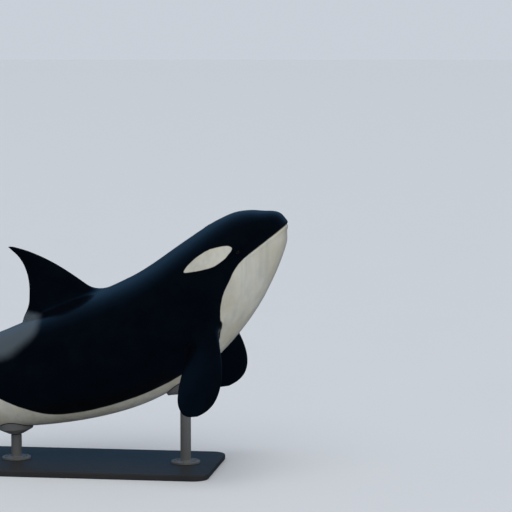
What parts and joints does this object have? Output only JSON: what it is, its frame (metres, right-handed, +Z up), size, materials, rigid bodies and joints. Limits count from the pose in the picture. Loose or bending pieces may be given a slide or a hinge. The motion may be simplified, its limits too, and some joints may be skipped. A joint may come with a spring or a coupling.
{
  "type": "orca",
  "caption": "Life-size orca, head raised and tail low as it lunges, held over a flat base by short rods, for a museum display.",
  "frame": {"origin": "centre of the underside of the display base, on the floor", "axes": "+Z up; +X the way the whale heads, from tail to snout; +Y to the whale's left, so the model is alike on both sides of the plane y = 0"},
  "size_m": [5.496, 2.1002, 2.6869],
  "materials": {
    "black_skin": "smooth wet skin, near black with a blue-green sheen",
    "white_skin": "smooth wet skin, creamy white",
    "grey_skin": "smooth wet skin, soft mid grey",
    "wet_eye": "wet, very dark brown",
    "base_paint": "satin dark grey paint",
    "post_steel": "brushed"
  },
  "bodies": {
    "root": {"head": "black_skin", "chest": "black_skin", "midbody": "black_skin", "tail_stock": "black_skin", "dorsal_fin": "black_skin", "pectoral_fin_left": "black_skin", "pectoral_fin_right": "black_skin", "fluke_left": "black_skin", "fluke_right": "black_skin", "lower_jaw": "white_skin", "throat": "white_skin", "breast": "white_skin", "belly": "white_skin", "eye_patch_left": "white_skin", "eye_patch_right": "white_skin", "saddle": "grey_skin", "eye_left": "wet_eye", "eye_right": "wet_eye", "stand_base": "base_paint", "stand_foot_front": "post_steel", "stand_rod_front": "post_steel", "stand_cradle_front": "post_steel", "stand_foot_rear": "post_steel", "stand_rod_rear": "post_steel", "stand_cradle_rear": "post_steel"}
  },
  "joints": []
}
